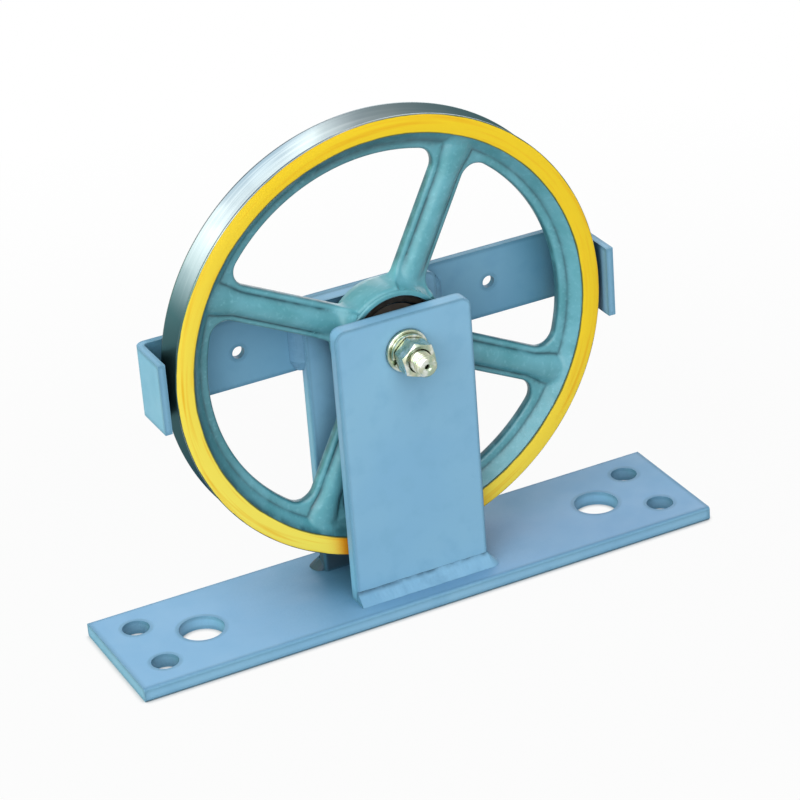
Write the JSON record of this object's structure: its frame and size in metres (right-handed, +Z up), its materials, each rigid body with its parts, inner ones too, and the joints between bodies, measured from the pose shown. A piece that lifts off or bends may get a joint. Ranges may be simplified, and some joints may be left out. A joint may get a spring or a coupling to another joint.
{
  "type": "governor rope guide sheave",
  "caption": "Grooved spoked sheave turning on a fixed axle between two welded uprights on a drilled base plate, with a bent rope guard strip.",
  "frame": {"origin": "middle of the underside of the base plate", "axes": "+X along the base plate, +Z up, axle along Y with the guard strip at +Y"},
  "size_m": [0.345, 0.099, 0.275],
  "materials": {
    "blue_painted_steel": "satin sprayed enamel",
    "painted_iron_casting": "brushed enamel with a yellow flange and a bare turned groove",
    "yellow_zinc_plated_steel": "yellow passivated zinc",
    "turned_steel": "turned",
    "bearing_steel": "ground and polished",
    "cage_polyamide": "moulded",
    "seal_rubber": "moulded",
    "phosphated_spring_steel": "phosphated and oiled"
  },
  "bodies": {
    "frame": {"base_plate": "blue_painted_steel", "front_upright": "blue_painted_steel", "rear_upright": "blue_painted_steel", "front_foot_weld": "blue_painted_steel", "rear_foot_weld": "blue_painted_steel", "rope_guard": "blue_painted_steel", "rope_guard_welds": "blue_painted_steel", "axle": "yellow_zinc_plated_steel", "front_spacer": "turned_steel", "rear_spacer": "turned_steel", "front_washer": "yellow_zinc_plated_steel", "rear_washer": "yellow_zinc_plated_steel", "front_spring_washer": "yellow_zinc_plated_steel", "rear_spring_washer": "yellow_zinc_plated_steel", "front_nut": "yellow_zinc_plated_steel", "rear_nut": "yellow_zinc_plated_steel", "bearing_inner_ring": "bearing_steel"},
    "sheave": {"sheave": "painted_iron_casting", "bearing_outer_ring": "bearing_steel", "front_seal": "seal_rubber", "rear_seal": "seal_rubber", "front_retaining_ring": "phosphated_spring_steel", "rear_retaining_ring": "phosphated_spring_steel"},
    "front_ball_row": {"front_balls": "bearing_steel", "front_cage": "cage_polyamide"},
    "rear_ball_row": {"rear_balls": "bearing_steel", "rear_cage": "cage_polyamide"}
  },
  "joints": [
    {"name": "sheave_spin", "type": "hinge", "parent": "frame", "child": "sheave", "pos_m": [0, 0, 0.15], "axis": [0, 1, 0], "continuous": true},
    {"name": "front_row_spin", "type": "hinge", "parent": "frame", "child": "front_ball_row", "pos_m": [0, 0, 0.15], "axis": [0, 1, 0], "continuous": true},
    {"name": "rear_row_spin", "type": "hinge", "parent": "frame", "child": "rear_ball_row", "pos_m": [0, 0, 0.15], "axis": [0, 1, 0], "continuous": true}
  ],
  "couplings": [
    {"joint": "front_row_spin", "follows": "sheave_spin", "ratio": 0.58247},
    {"joint": "rear_row_spin", "follows": "sheave_spin", "ratio": 0.58247}
  ]
}
